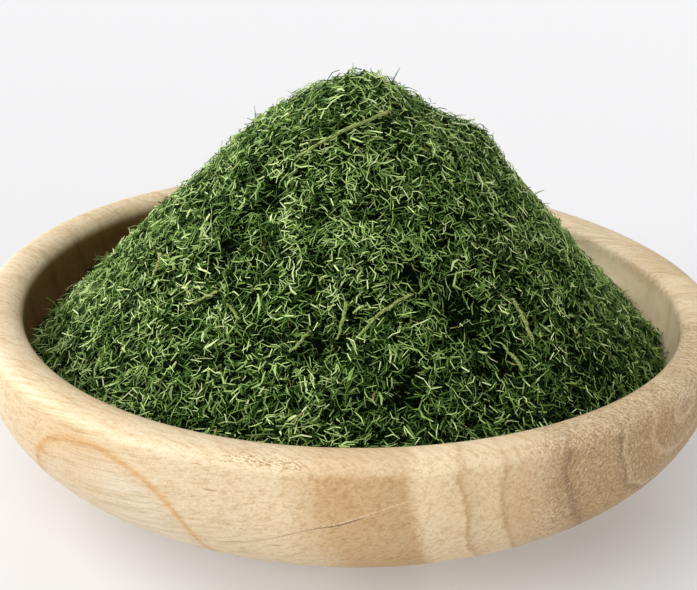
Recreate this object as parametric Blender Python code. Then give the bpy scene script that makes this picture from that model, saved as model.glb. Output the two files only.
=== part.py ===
"""A turned wooden bowl heaped with chopped, dried dill weed, with longer stem pieces lying on top.

Units are metres, +Z is up, and the origin is the middle of the bowl's flat base. -Y is the front.
"""
import math
import random

import bmesh
import bpy
from mathutils import Vector, noise
from mathutils.bvhtree import BVHTree

# Bowl
BOWL_RADIUS = 0.080
BASE_RADIUS = 0.034
SHOULDER_HEIGHT = 0.0356
RIM_RISE = 0.0032
WALL = 0.0092
FLOOR = 0.0070
BELLY_POWER = 2.65
HOLLOW_POWER = 2.5
RIM_POWER = 0.84
FOOT_CHAMFER = 0.0010

# The bowl has dried a little out of round: wider along one direction, its rim lower there
OVAL_SHARE = 0.019
RIM_DROOP = 0.00093
WIDE_DIRECTION = math.radians(42)

# Heap of dill: a round-topped cone over the bowl's middle, whose foot runs out to the wall
HEAP_TOP = 0.0855
TOP_ROUNDING = 0.036
HEAP_SLOPE = 1.308
BACK_STEEPER = 0.107
FOOT_BLEND = 0.0030
FOOT_HEIGHT = 0.0308
FOOT_LEFT_RISE = 0.0006
FOOT_SIDES_DROP = 0.0053
LUMP_HEIGHT = 0.0011
LUMP_SIZE = 0.013
CLEARANCE = 0.0006

# Mounds of the heap, and sunken places where the height is negative: x, y, radius and height
MOUNDS = (
    (-0.001, -0.003, 0.0080, 0.0022),
    (0.0112, 0.001, 0.0058, -0.0046),
    (0.0240, 0.006, 0.0046, 0.0034),
    (0.056, 0.026, 0.0090, 0.0038),
    (0.066, 0.008, 0.0060, 0.0016),
    (-0.060, 0.028, 0.0120, 0.0015),
    (-0.034, 0.012, 0.0070, -0.0032),
    (0.0112, -0.0401, 0.0050, -0.0016),
    (0.0190, -0.0427, 0.0055, -0.0016),
    (0.0289, -0.0463, 0.0055, -0.0015),
    (-0.0071, -0.0518, 0.0050, -0.0014),
    (0.0099, -0.0574, 0.0055, -0.0014),
    (0.0000, -0.0476, 0.0045, -0.0013),
    (-0.0171, -0.0252, 0.0050, -0.0014),
    (-0.0242, -0.0312, 0.0055, -0.0014),
    (-0.020, 0.030, 0.0060, -0.0015),
    (0.030, 0.034, 0.0060, -0.0015),
    (0.002, 0.046, 0.0055, -0.0015),
)

# Fused snippets, larger than life
SNIPPET_COUNT = 670
SNIPPET_LENGTHS = (0.0085, 0.0125)
SNIPPET_RADII = (0.00080, 0.00110)
SNIPPET_RISE = (0.0012, 0.0026)
SNIPPET_SINK = 0.0014
SNIPPET_SEED = 7
ROOT_SHARE = 0.42
ROOT_COVER = 0.0002
LEAST_RISE = 0.0006
KEEP_OUT = 0.0006
PROBES = 6
OUTER_SHARE = 0.985
GOLDEN_ANGLE = math.pi * (3 - math.sqrt(5))

# Loose stem pieces: start x, y, end x, y, radius, sideways bow and flatness
STEM_GAP = 0.0003
LIFT_STEP = 0.0001
STEM_NARROWING = 0.25
JOINT_SWELLING = 1.18
STEMS = (
    (-0.0131, -0.0208, 0.0056, -0.0122, 0.00055, -0.0022, 1.00),
    (-0.0016, -0.0458, -0.0031, -0.0513, 0.00049, 0.0003, 1.00),
    (0.0012, -0.0512, 0.0112, -0.0435, 0.00049, 0.0006, 1.00),
    (0.0315, -0.0364, 0.0358, -0.0407, 0.00075, 0.0003, 0.55),
    (0.0295, -0.0446, 0.0337, -0.0472, 0.00055, -0.0003, 0.80),
    (0.0330, 0.0120, 0.0400, 0.0060, 0.00085, 0.0008, 0.50),
    (-0.0389, -0.0238, -0.0398, -0.0282, 0.00065, 0.0003, 0.80),
    (-0.0306, -0.0396, -0.0260, -0.0397, 0.00049, 0.0003, 0.90),
    (-0.0117, -0.0525, -0.0083, -0.0498, 0.00049, -0.0003, 1.00),
    (-0.0240, -0.0422, -0.0213, -0.0455, 0.00049, 0.0002, 1.00),
    (-0.0160, 0.0300, 0.0020, 0.0350, 0.00055, 0.0010, 1.00),
    (0.0380, 0.0330, 0.0330, 0.0420, 0.00052, 0.0006, 1.00),
)

# Mesh fineness
SEGMENTS = 54
OUTER_RINGS = 8
RIM_RINGS = 7
INNER_RINGS = 9
HEAP_RINGS = 18
HEAP_UNDER_RINGS = 9
STEM_SIDES = 6
STEM_RINGS = 7

NORMAL_STEP = 0.01
BOWL_SHARP_ANGLE = math.radians(40)
STEM_SHARP_ANGLE = math.radians(70)

# Base colour and roughness of each material
MATERIALS = {
    "wood": ((0.62, 0.42, 0.22), 0.45),
    "dill_leaf": ((0.085, 0.15, 0.035), 0.75),
    "dill_stem": ((0.36, 0.40, 0.13), 0.65),
}


def clear_scene():
    for item in list(bpy.data.objects):
        bpy.data.objects.remove(item, do_unlink=True)


def make_material(name):
    color, roughness = MATERIALS[name]
    material = bpy.data.materials.new(name)
    material.use_nodes = True
    shader = material.node_tree.nodes["Principled BSDF"]
    shader.inputs["Base Color"].default_value = (*color, 1)
    shader.inputs["Roughness"].default_value = roughness
    shader.inputs["Metallic"].default_value = 0
    return material


def add_object(name, vertices, faces, material=None):
    mesh = bpy.data.meshes.new(name)
    mesh.from_pydata([tuple(v) for v in vertices], [], faces)
    mesh.update()
    if material:
        mesh.materials.append(material)
    item = bpy.data.objects.new(name, mesh)
    bpy.context.scene.collection.objects.link(item)
    return item


def dried_out(point):
    """Moves a point of the perfectly round bowl to its place in the bowl as it has dried."""
    angle = math.atan2(point.y, point.x)
    wave = math.cos(2 * (angle - WIDE_DIRECTION))
    widening = 1 + OVAL_SHARE * wave
    outward = (math.hypot(point.x, point.y) / BOWL_RADIUS) ** 2
    upward = min(1.0, point.z / (SHOULDER_HEIGHT + RIM_RISE))
    droop = RIM_DROOP * wave * outward * upward
    return Vector((point.x * widening, point.y * widening, point.z - droop))


def outer_point(share):
    """Radius and height on the outer wall, from the base at 0 to the shoulder at 1."""
    start = math.acos((BASE_RADIUS / BOWL_RADIUS) ** (BELLY_POWER / 2))
    turn = start * (1 - share)
    depth = SHOULDER_HEIGHT / math.sin(start) ** (2 / BELLY_POWER)
    radius = BOWL_RADIUS * math.cos(turn) ** (2 / BELLY_POWER)
    return radius, SHOULDER_HEIGHT - depth * math.sin(turn) ** (2 / BELLY_POWER)


def rim_point(share):
    """Radius and height over the rounded rim, from its outer side at 0 to its inner side at 1."""
    turn = math.pi * share
    across = math.copysign(abs(math.cos(turn)) ** RIM_POWER, math.cos(turn))
    radius = BOWL_RADIUS - WALL / 2 + across * WALL / 2
    return radius, SHOULDER_HEIGHT + RIM_RISE * math.sin(turn) ** RIM_POWER


def inner_point(turn):
    """Radius and height on the inner wall, from the shoulder at 0 to the middle at a quarter turn."""
    radius = (BOWL_RADIUS - WALL) * max(math.cos(turn), 0) ** (2 / HOLLOW_POWER)
    return radius, SHOULDER_HEIGHT - (SHOULDER_HEIGHT - FLOOR) * math.sin(turn) ** (2 / HOLLOW_POWER)


def inner_turn(height):
    """The turn at which the inner wall has this height."""
    drop = max(0.0, SHOULDER_HEIGHT - height) / (SHOULDER_HEIGHT - FLOOR)
    return math.asin(min(1.0, drop) ** (HOLLOW_POWER / 2))


def bowl_profile():
    """Radius and height of the turned outline, up the outside, over the rim and down to the middle."""
    points = [(BASE_RADIUS - FOOT_CHAMFER, 0.0), (BASE_RADIUS, FOOT_CHAMFER)]
    points += [outer_point(k / OUTER_RINGS) for k in range(1, OUTER_RINGS)]
    points += [rim_point(k / RIM_RINGS) for k in range(RIM_RINGS + 1)]
    quarter = math.pi / 2
    points += [inner_point(quarter * k / INNER_RINGS) for k in range(1, INNER_RINGS)]
    return points


def ring(radius, height):
    points = []
    for k in range(SEGMENTS):
        angle = 2 * math.pi * k / SEGMENTS
        flat = Vector((radius * math.cos(angle), radius * math.sin(angle), height))
        points.append(dried_out(flat))
    return points


def ring_faces(lower, upper, sides):
    """Quads between two rings of a body whose inside is on the left of the way from lower to upper."""
    faces = []
    for k in range(sides):
        after = (k + 1) % sides
        faces.append((lower + k, lower + after, upper + after, upper + k))
    return faces


def make_bowl(material):
    vertices = []
    faces = []
    profile = bowl_profile()
    for radius, height in profile:
        vertices += ring(radius, height)
    for k in range(len(profile) - 1):
        faces += ring_faces(k * SEGMENTS, (k + 1) * SEGMENTS, SEGMENTS)
    faces.append(tuple(reversed(range(SEGMENTS))))
    middle = len(vertices)
    vertices.append(dried_out(Vector((0, 0, FLOOR))))
    last = middle - SEGMENTS
    for k in range(SEGMENTS):
        faces.append((last + k, last + (k + 1) % SEGMENTS, middle))
    bowl = add_object("bowl", vertices, faces, material)
    bowl.data.shade_smooth()
    bowl.data.set_sharp_from_angle(angle=BOWL_SHARP_ANGLE)
    return bowl


def foot_height(angle):
    """Height at which the dill meets the bowl's wall, for a direction round the bowl."""
    height = FOOT_HEIGHT - FOOT_LEFT_RISE * math.cos(angle)
    return height - FOOT_SIDES_DROP * math.cos(2 * angle)


def heap_height(x, y):
    """Height of the heap's core, before the bowl's drying moves it."""
    angle = math.atan2(y, x)
    run = math.hypot(x, y) * (HEAP_SLOPE + BACK_STEEPER * math.sin(angle))
    cone = HEAP_TOP + TOP_ROUNDING - math.hypot(run, TOP_ROUNDING)
    foot = foot_height(angle)
    higher = max(cone, foot)
    spread = math.exp((cone - higher) / FOOT_BLEND) + math.exp((foot - higher) / FOOT_BLEND)
    height = higher + FOOT_BLEND * math.log(spread)
    inside = BOWL_RADIUS - WALL - math.hypot(x, y)
    fade = min(1.0, max(0.0, inside / LUMP_SIZE))
    lumps = noise.noise(Vector((x, y, 0)) / LUMP_SIZE)
    lumps += 0.5 * noise.noise(Vector((x, y, LUMP_SIZE)) / (LUMP_SIZE / 2))
    height += LUMP_HEIGHT * fade * lumps
    for mound_x, mound_y, radius, rise in MOUNDS:
        away = math.hypot(x - mound_x, y - mound_y) / radius
        height += rise * math.exp(-away * away)
    return height


def heap_edge(angle):
    """Radius and height at which the heap's core ends beside the bowl's wall."""
    height = foot_height(angle)
    radius = 0.0
    for _ in range(4):
        radius = inner_point(inner_turn(height))[0] - CLEARANCE
        height = min(heap_height(radius * math.cos(angle), radius * math.sin(angle)), SHOULDER_HEIGHT)
    return radius, height


def heap_point(share, angle):
    """A point on the heap's core, from its middle at share 0 to the bowl's wall at 1."""
    radius = heap_edge(angle)[0] * share
    x = radius * math.cos(angle)
    y = radius * math.sin(angle)
    return dried_out(Vector((x, y, heap_height(x, y))))


def under_point(share, angle):
    """A point under the heap's core, just clear of the bowl, from the heap's edge at 0 to the middle."""
    start = inner_turn(heap_edge(angle)[1])
    radius, height = inner_point(start + (math.pi / 2 - start) * share)
    radius = max(0.0, radius - CLEARANCE)
    height += CLEARANCE * share
    return dried_out(Vector((radius * math.cos(angle), radius * math.sin(angle), height)))


def make_heap_core(material):
    angles = [2 * math.pi * k / SEGMENTS for k in range(SEGMENTS)]
    vertices = []
    faces = []
    for k in range(1, HEAP_UNDER_RINGS):
        vertices += [under_point(1 - k / HEAP_UNDER_RINGS, angle) for angle in angles]
    for k in range(HEAP_RINGS):
        vertices += [heap_point(1 - k / HEAP_RINGS, angle) for angle in angles]
    rings = HEAP_UNDER_RINGS - 1 + HEAP_RINGS
    for k in range(rings - 1):
        faces += ring_faces(k * SEGMENTS, (k + 1) * SEGMENTS, SEGMENTS)
    top = len(vertices)
    vertices.append(heap_point(0, 0))
    bottom = len(vertices)
    vertices.append(dried_out(Vector((0, 0, FLOOR + CLEARANCE))))
    last = (rings - 1) * SEGMENTS
    for k in range(SEGMENTS):
        after = (k + 1) % SEGMENTS
        faces.append((last + k, last + after, top))
        faces.append((after, k, bottom))
    return add_object("dill_heap", vertices, faces, material)


def heap_normal(share, angle):
    along = heap_point(share + NORMAL_STEP, angle) - heap_point(share - NORMAL_STEP, angle)
    around = heap_point(share, angle + NORMAL_STEP) - heap_point(share, angle - NORMAL_STEP)
    return along.cross(around).normalized()


def frame_round(direction, up):
    """Two unit vectors square to a direction, the first as near to up as can be."""
    side = direction.cross(up).normalized()
    return side.cross(direction).normalized(), side


def tube(path, radii, sides, up, flatness=1.0):
    """Vertices and faces of a closed tube along a path, flattened along up."""
    vertices = []
    faces = []
    for k, point in enumerate(path):
        ahead = path[min(k + 1, len(path) - 1)] - path[max(k - 1, 0)]
        high, side = frame_round(ahead.normalized(), up)
        for s in range(sides):
            turn = 2 * math.pi * s / sides
            offset = side * math.cos(turn) - high * math.sin(turn) * flatness
            vertices.append(point + offset * radii[k])
    for k in range(len(path) - 1):
        faces += ring_faces(k * sides, (k + 1) * sides, sides)
    faces.append(tuple(reversed(range(sides))))
    last = (len(path) - 1) * sides
    faces.append(tuple(last + s for s in range(sides)))
    return vertices, faces


def spike(root, tip, radius, up):
    """Vertices and faces of a three-sided snippet that narrows to its free end."""
    high, side = frame_round((tip - root).normalized(), up)
    vertices = []
    for s in range(3):
        turn = 2 * math.pi * s / 3
        vertices.append(root + (side * math.cos(turn) - high * math.sin(turn)) * radius)
    vertices.append(tip)
    return vertices, [(2, 1, 0), (0, 1, 3), (1, 2, 3), (2, 0, 3)]


def tree_of(vertices, faces):
    return BVHTree.FromPolygons([tuple(v) for v in vertices], faces)


def object_tree(item):
    return tree_of([v.co for v in item.data.vertices], [tuple(p.vertices) for p in item.data.polygons])


def nearest(tree, points):
    return min(tree.find_nearest(point)[3] for point in points)


def stem_path(start, end, bow, lift):
    """A gently bowed path over the heap, following its slope at both ends and its middle."""
    ends = (start, (start + end) / 2, end)
    heights = [heap_height(point.x, point.y) for point in ends]
    sideways = Vector((-(end - start).y, (end - start).x)).normalized()
    path = []
    for k in range(STEM_RINGS):
        t = k / (STEM_RINGS - 1)
        flat = start.lerp(end, t) + sideways * bow * 4 * t * (1 - t)
        height = heights[0] * (1 - t) * (1 - 2 * t) + heights[1] * 4 * t * (1 - t)
        height += heights[2] * t * (2 * t - 1)
        path.append(dried_out(Vector((flat.x, flat.y, height + lift))))
    return path


def stem_shape(spec, core_tree):
    """One stem piece, laid as low as it goes while it stays clear of the heap."""
    start_x, start_y, end_x, end_y, radius, bow, flatness = spec
    start = Vector((start_x, start_y))
    end = Vector((end_x, end_y))
    radii = [radius * (1 - STEM_NARROWING * k / (STEM_RINGS - 1)) for k in range(STEM_RINGS)]
    radii[STEM_RINGS // 2] *= JOINT_SWELLING
    lift = radius * flatness
    while True:
        path = stem_path(start, end, bow, lift)
        length = path[-1] - path[0]
        up = length.cross(Vector((0, 0, 1))).cross(length).normalized()
        vertices, faces = tube(path, radii, STEM_SIDES, up, flatness)
        undersides = [point - up * radius * flatness for point in path]
        if min(side_of(core_tree, point) for point in vertices + undersides) > STEM_GAP:
            return vertices, faces
        lift += LIFT_STEP


def side_of(tree, point):
    """Distance to a closed body, negative inside it."""
    place, normal, _, distance = tree.find_nearest(point)
    return distance if (point - place).dot(normal) > 0 else -distance


def make_stems(core_tree, material):
    stems = []
    for number, spec in enumerate(STEMS, 1):
        vertices, faces = stem_shape(spec, core_tree)
        stem = add_object(f"stem_piece_{number:02d}", vertices, faces, material)
        stem.data.shade_smooth()
        stem.data.set_sharp_from_angle(angle=STEM_SHARP_ANGLE)
        stems.append(stem)
    return stems


def make_snippets(core_tree, kept_clear, collection):
    """Scatters the snippets evenly over the heap, leaving out any that would touch another piece."""
    draw = random.Random(SNIPPET_SEED)
    for number in range(SNIPPET_COUNT):
        share = OUTER_SHARE * math.sqrt((number + 0.5) / SNIPPET_COUNT)
        angle = number * GOLDEN_ANGLE
        length = draw.uniform(*SNIPPET_LENGTHS)
        radius = draw.uniform(*SNIPPET_RADII)
        rise = draw.uniform(*SNIPPET_RISE)
        heading = draw.uniform(0, 2 * math.pi)
        up = heap_normal(share, angle)
        first, second = frame_round(up, Vector((0, 1, 0)))
        along = first * math.cos(heading) + second * math.sin(heading)
        middle = heap_point(share, angle)
        for way in (1, -1):
            root = middle - along * way * length * ROOT_SHARE - up * SNIPPET_SINK
            tip = middle + along * way * length * (1 - ROOT_SHARE) + up * rise
            vertices, faces = spike(root, tip, radius, up)
            probes = [root.lerp(tip, k / PROBES) for k in range(PROBES + 1)]
            proud = side_of(core_tree, tip) > LEAST_RISE
            rooted = max(side_of(core_tree, point) for point in vertices[:3]) < -ROOT_COVER
            clear = all(nearest(tree, probes) > radius + KEEP_OUT for tree in kept_clear)
            if clear and rooted and proud:
                snippet = add_object(f"snippet_{number:04d}", vertices, faces)
                bpy.context.scene.collection.objects.unlink(snippet)
                collection.objects.link(snippet)
                break


def body_volume(faces):
    """Signed volume of one closed body, positive where its faces point out."""
    total = 0.0
    for face in faces:
        corners = [vertex.co for vertex in face.verts]
        for k in range(1, len(corners) - 1):
            total += corners[0].dot(corners[k].cross(corners[k + 1])) / 6
    return total


def keep_main_body(item):
    """Deletes loose scraps and fills sealed hollows: only the body of the largest volume stays."""
    shape = bmesh.new()
    shape.from_mesh(item.data)
    left = set(shape.faces)
    bodies = []
    while left:
        stack = [left.pop()]
        body = []
        while stack:
            face = stack.pop()
            body.append(face)
            for edge in face.edges:
                for other in edge.link_faces:
                    if other in left:
                        left.remove(other)
                        stack.append(other)
        bodies.append(body)
    bodies.sort(key=body_volume)
    for body in bodies[:-1]:
        bmesh.ops.delete(shape, geom=body, context="FACES")
    bmesh.ops.delete(shape, geom=[v for v in shape.verts if not v.link_faces], context="VERTS")
    bmesh.ops.triangulate(shape, faces=shape.faces[:])
    shape.to_mesh(item.data)
    shape.free()


def fuse(item, collection):
    """Joins every object of the collection to the item, then removes the collection."""
    union = item.modifiers.new("snippets", "BOOLEAN")
    union.operation = "UNION"
    union.operand_type = "COLLECTION"
    union.collection = collection
    union.solver = "MANIFOLD"
    with bpy.context.temp_override(object=item, active_object=item, selected_objects=[item]):
        bpy.ops.object.modifier_apply(modifier=union.name)
    for snippet in list(collection.objects):
        bpy.data.objects.remove(snippet, do_unlink=True)
    bpy.data.collections.remove(collection)
    keep_main_body(item)


def main():
    clear_scene()
    wood = make_material("wood")
    leaf = make_material("dill_leaf")
    stalk = make_material("dill_stem")
    bowl = make_bowl(wood)
    heap = make_heap_core(leaf)
    core_tree = object_tree(heap)
    stems = make_stems(core_tree, stalk)
    snippets = bpy.data.collections.new("snippets")
    bpy.context.scene.collection.children.link(snippets)
    make_snippets(core_tree, [object_tree(item) for item in [bowl] + stems], snippets)
    fuse(heap, snippets)


main()
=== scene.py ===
"""The looks of a turned wooden bowl heaped with chopped, dried dill weed.

Units are metres, +Z is up, and the origin is the middle of the bowl's flat base. -Y is the front.
"""
from math import acos, atan2, copysign, cos, exp, hypot, log, pi, radians, sin, sqrt

import bmesh
import bpy
import numpy as np
from mathutils import Matrix, Vector, noise


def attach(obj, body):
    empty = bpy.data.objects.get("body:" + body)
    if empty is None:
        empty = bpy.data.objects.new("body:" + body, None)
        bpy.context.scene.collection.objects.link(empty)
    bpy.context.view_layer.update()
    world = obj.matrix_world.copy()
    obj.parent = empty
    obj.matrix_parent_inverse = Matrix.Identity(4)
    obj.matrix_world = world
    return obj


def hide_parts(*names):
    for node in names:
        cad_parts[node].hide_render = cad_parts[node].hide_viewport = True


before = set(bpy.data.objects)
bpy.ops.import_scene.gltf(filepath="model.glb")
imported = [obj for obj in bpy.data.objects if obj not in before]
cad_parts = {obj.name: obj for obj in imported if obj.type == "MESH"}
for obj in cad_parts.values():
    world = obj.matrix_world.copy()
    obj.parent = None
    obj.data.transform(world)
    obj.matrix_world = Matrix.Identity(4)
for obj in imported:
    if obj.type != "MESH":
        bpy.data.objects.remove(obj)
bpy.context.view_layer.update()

# Bowl, as the CAD has it
BOWL_RADIUS = 0.080
BASE_RADIUS = 0.034
SHOULDER_HEIGHT = 0.0356
RIM_RISE = 0.0032
WALL = 0.0092
FLOOR = 0.0070
BELLY_POWER = 2.65
HOLLOW_POWER = 2.5
RIM_POWER = 0.84
FOOT_CHAMFER = 0.0010
OVAL_SHARE = 0.019
RIM_DROOP = 0.00093
WIDE_DIRECTION = radians(42)

# Heap of dill, as the CAD has it
HEAP_TOP = 0.0855
TOP_ROUNDING = 0.036
HEAP_SLOPE = 1.308
BACK_STEEPER = 0.107
FOOT_BLEND = 0.0030
FOOT_HEIGHT = 0.0308
FOOT_LEFT_RISE = 0.0006
FOOT_SIDES_DROP = 0.0053
LUMP_HEIGHT = 0.0011
LUMP_SIZE = 0.013
CLEARANCE = 0.0006
EDGE_ROUNDS = 4

# Mounds of the heap, and sunken places where the height is negative: x, y, radius and height
MOUNDS = (
    (-0.001, -0.003, 0.0080, 0.0022),
    (0.0112, 0.001, 0.0058, -0.0046),
    (0.0240, 0.006, 0.0046, 0.0034),
    (0.056, 0.026, 0.0090, 0.0038),
    (0.066, 0.008, 0.0060, 0.0016),
    (-0.060, 0.028, 0.0120, 0.0015),
    (-0.034, 0.012, 0.0070, -0.0032),
    (0.0112, -0.0401, 0.0050, -0.0016),
    (0.0190, -0.0427, 0.0055, -0.0016),
    (0.0289, -0.0463, 0.0055, -0.0015),
    (-0.0071, -0.0518, 0.0050, -0.0014),
    (0.0099, -0.0574, 0.0055, -0.0014),
    (0.0000, -0.0476, 0.0045, -0.0013),
    (-0.0171, -0.0252, 0.0050, -0.0014),
    (-0.0242, -0.0312, 0.0055, -0.0014),
    (-0.020, 0.030, 0.0060, -0.0015),
    (0.030, 0.034, 0.0060, -0.0015),
    (0.002, 0.046, 0.0055, -0.0015),
)

# Fineness of the bowl and of the heap's dark inside, painted shade between the threads
BOWL_SEGMENTS = 192
FOOT_RINGS = 6
OUTER_RINGS = 34
RIM_RINGS = 16
INNER_RINGS = 30
CORE_SEGMENTS = 120
CORE_RINGS = 40
CORE_UNDER_RINGS = 8
CORE_SINK = 0.0022

# Grid on which the heap's heights are kept, and steps round the bowl at which its edge is
GRID_STEP = 0.001
JUST_INSIDE = 0.001
EDGE_STEPS = 180

# Dill threads by kind: name, number, pieces that share them, rings of three points, lengths, widths and
# flatness
THREAD_SEED = 11
THREAD_KINDS = (
    ("short", 32000, 2, 2, (0.0010, 0.0023), (0.00022, 0.00036), 0.62),
    ("bent", 36000, 3, 3, (0.0014, 0.0034), (0.00027, 0.00043), 0.62),
    ("long", 5600, 1, 4, (0.0028, 0.0062), (0.00028, 0.00048), 0.62),
    ("flake", 4600, 1, 3, (0.0016, 0.0044), (0.00046, 0.00080), 0.3),
)

# Shape of a thread: bend, share of its width at the thin end, and what it loses at both ends
THREAD_BEND = 0.20
THREAD_TAPER = (0.35, 1.0)
POINTEDNESS = 0.45

# How threads lie on the heap: lowest, usual and highest place, tilt, and the few that stand up
THREAD_DEPTH = (-0.0020, -0.0010, 0.0012)
THREAD_TILT = radians(17)
MOST_TILT = 0.8
STANDING_SHARE = 0.022
STANDING_TILT = (radians(30), radians(65))

# The most slope over one unit of floor that the even scatter allows for
STEEPEST = 2.0

# Most threads follow the swirls, and the rest lie any way
COMBED_SHARE = 0.62
COMBED_SPREAD = 0.55
SWIRL_SIZE = 0.0060
SWIRL_TURNS = 3

# Clumps, and craters in the middle of the shallow sunken places, where threads sink and take the dark
# tones of painted shade
CLUMP_SIZE = 0.0048
CLUMP_HEIGHT = 0.0008
CRATER_DEPTH = 0.0014
CRATER_SHARE = 0.5
DEEPEST_CRATER = 0.0020

# Threads are kept this far clear of the wall, up to this height over its shoulder
KEPT_OVER_SHOULDER = 0.001
THREAD_GAP = 0.0001

# A thread's tone, 0 for the darkest, grows with its height in the heap's skin, so that deep threads carry
# painted shade, and falls towards the heap's foot on the right, which is painted shade too
GREENEST_TONE = 0.80
TOP_TONE = 0.86
TONE_POWER = 1.15
TONE_SPREAD = 0.225
FOOT_PAINTED_SHADE = 0.14
FOOT_HEADING = radians(322)
FOOT_START = 0.029
FOOT_FULL = 0.064
STRAW_SHARE = 0.004
STRAW_TONES = (0.95, 1.0)

# The map gives a thread its tone across, with its sides a step apart to paint light and shade on them, and
# its length up
UV_MAP = "OFBake"
MAP_START = 0.002
MAP_WIDTH = 0.99
MAP_MARGIN = 0.02
STRAW_STEP = 0.002
SIDE_PAINTED_SHADING = 0.050

# Colours by tone: greens up to 0.93, straw from 0.95; the darkest greens mostly paint shade on deep
# threads
DILL_TONES = (
    (0.00, (0.001, 0.003, 0.0005)),
    (0.20, (0.005, 0.016, 0.002)),
    (0.36, (0.040, 0.096, 0.016)),
    (0.53, (0.165, 0.278, 0.062)),
    (0.67, (0.375, 0.535, 0.165)),
    (0.81, (0.580, 0.715, 0.290)),
    (0.93, (0.760, 0.845, 0.460)),
    (0.95, (0.210, 0.190, 0.050)),
    (1.00, (0.480, 0.440, 0.180)),
)
# Painted highlight towards a green thread's tip
TIP_PAINTED_HIGHLIGHT = 0.14
GREEN_END = (0.94, 0.90)
SHADE_FINENESS = 900.0
SHADE_COLORS = ((0.001, 0.002, 0.001), (0.004, 0.008, 0.003))

# Threads that stick out of the heap: x, y, heading and tilt in degrees, length
STRAYS = (
    (-0.0028, 0.0020, 80, 80, 0.0030),
    (0.0052, 0.0030, 10, 62, 0.0046),
    (0.0062, 0.0030, 160, 55, 0.0030),
    (-0.0228, 0.0030, 170, 84, 0.0044),
    (-0.0146, 0.0060, 20, 48, 0.0046),
    (0.0364, 0.0040, 5, 22, 0.0040),
    (0.0380, 0.0020, 350, 10, 0.0034),
    (0.0630, -0.0080, 320, 50, 0.0036),
    (0.0655, -0.0020, 60, 55, 0.0030),
    (-0.0617, -0.0070, 176, 32, 0.0064),
    (-0.0600, -0.0290, 128, 9, 0.0100),
    (-0.0655, -0.0100, 200, 18, 0.0040),
    (-0.0560, 0.0090, 40, 20, 0.0080),
    (0.0010, -0.0600, 250, 8, 0.0060),
)

# Their rings, widths, flatness and tones, and the share of their length from the heap to their middle
STRAY_RINGS = 4
STRAY_WIDTHS = (0.00036, 0.00050)
STRAY_FLATNESS = 0.62
STRAY_TONES = (0.35, 0.62)
STRAY_OUT = 0.38

# Stems: how fine they are, lie under the CAD ones, wander, vary in width and narrow to one end
STEM_COUNT = 12
STEM_SIDES = 12
STEM_RINGS = 25
CAD_STEM_RINGS = 7
STEM_SINK = 0.0005
STEM_CROOK = 0.00008
STEM_WOBBLE = 0.07
STEM_TAPER = 0.40

# Ribs along a stem, and its torn ends: their share of half its length, narrowing and unevenness
STEM_RIBS = 5
RIB_DEPTH = 0.10
TORN_SHARE = 0.04
TORN_NARROWING = 0.22
TORN_REACH = (-0.3, 0.1)

# Colours of a stem: noises of its streaks and patches, and where on them these start and are full
STALK_STREAKS = (18.0, 3.0, 0.7)
STREAK_RANGE = (0.40, 0.60)
STALK_PATCHES = (90.0, 1.0)
PATCH_RANGE = (0.46, 0.60)
STALK_DARK = (0.018, 0.042, 0.008)
STALK_LIGHT = (0.380, 0.480, 0.130)
STALK_YELLOW = (0.520, 0.480, 0.180)
YELLOW_STRENGTH = 0.4

# Wood: fibres run level but for a slight rise, and come out of the wall at the pith's heading
PITH_HEADING = radians(326)
PITH_HEIGHT = 0.036
PITH_SQUASH = 1.25
FIBRE_RISE = radians(9.9)
FIBRE_HEADING = radians(325)
ACROSS_FIBRE = Vector((-sin(FIBRE_HEADING), cos(FIBRE_HEADING), 0))
FIBRE = Vector((
    cos(FIBRE_HEADING) * cos(FIBRE_RISE),
    sin(FIBRE_HEADING) * cos(FIBRE_RISE),
    sin(FIBRE_RISE),
))
WOOD = {
    "cream": (0.66, 0.535, 0.355),
    "pale": (0.70, 0.57, 0.38),
    "light": (0.77, 0.635, 0.425),
    "honey": (0.92, 0.77, 0.56),
    "tan": (0.53, 0.38, 0.20),
    "blush": (0.56, 0.385, 0.20),
    "brown": (0.56, 0.395, 0.21),
    "red": (0.53, 0.34, 0.17),
    "ash": (0.69, 0.53, 0.335),
    "grey": (0.51, 0.36, 0.19),
    "line": (0.34, 0.225, 0.115),
    "ring": (0.56, 0.31, 0.10),
    "oval": (0.99, 1.04, 1.16),
    "streak": (0.70, 0.56, 0.38),
    "mottle": (0.66, 0.58, 0.47),
    "pore": (0.20, 0.12, 0.06),
    "bright": (0.80, 0.70, 0.52),
    "crack": (0.10, 0.045, 0.02),
    "fray": (0.86, 0.76, 0.58),
    # Paler wood with painted light, on the rim and the hollow's right side
    "pale_and_lit": (0.89, 0.74, 0.505),
    "rust": (0.36, 0.20, 0.08),
    # Painted shade, laid on the hollow's left side
    "painted_shade": (0.30, 0.19, 0.085),
    "stain": (0.78, 0.80, 0.56),
}

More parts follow.
